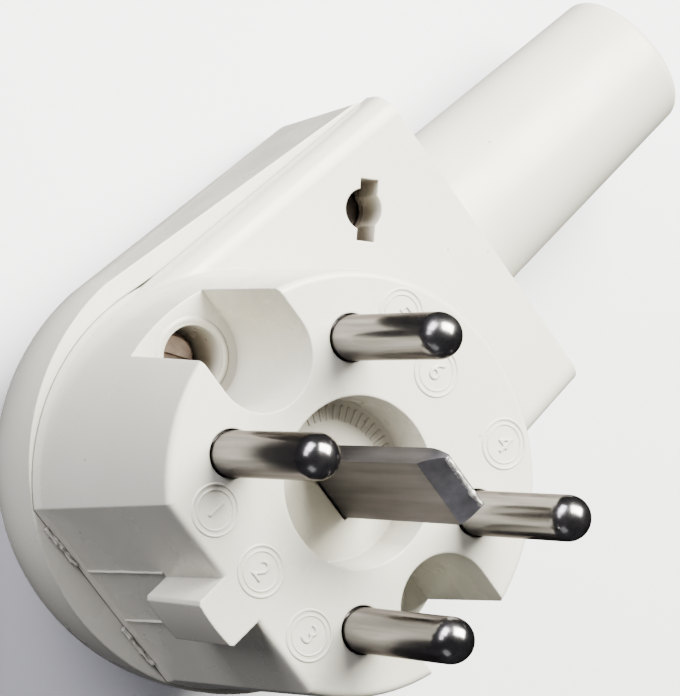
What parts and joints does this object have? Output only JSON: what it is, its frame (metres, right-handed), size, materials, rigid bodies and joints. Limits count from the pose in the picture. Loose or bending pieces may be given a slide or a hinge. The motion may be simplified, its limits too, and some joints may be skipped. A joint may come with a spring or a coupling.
{
  "type": "angled three-phase plug",
  "caption": "Angled household plug with round pins around a flat earth blade, a keyed round head, side notches and a tapered cable sleeve that leaves parallel to the wall.",
  "frame": {"origin": "on the axis of the contact face's circle, where it meets the flat back of the rear cover", "axes": "+Z from the back towards the pin tips, +Y towards the cable end, +X across the plug"},
  "size_m": [0.0534, 0.1057, 0.0732],
  "materials": {
    "housing": "gloss",
    "sleeve": "satin",
    "carrier": "matt",
    "clamp": "matt",
    "pin": "nickel plated",
    "blade": "drawn",
    "screw": "zinc plated",
    "insert": "turned"
  },
  "bodies": {
    "root": {"front_housing": "housing", "rear_cover": "housing", "cable_sleeve": "sleeve", "contact_carrier": "carrier", "contact_retainer": "carrier", "earth_blade": "blade", "housing_screw_left": "screw", "housing_screw_right": "screw", "clamp_screw": "screw", "carrier_screw_key_side": "screw", "carrier_screw_cable_side": "screw", "terminal_screw_line_1": "screw", "terminal_screw_line_2": "screw", "terminal_screw_line_3": "screw", "terminal_screw_neutral": "screw", "terminal_screw_earth": "screw", "housing_insert_left": "insert", "housing_insert_right": "insert", "clamp_insert": "insert", "cable_clamp": "clamp", "pin_line_1": "pin", "pin_line_2": "pin", "pin_line_3": "pin", "pin_neutral": "pin"}
  },
  "joints": []
}
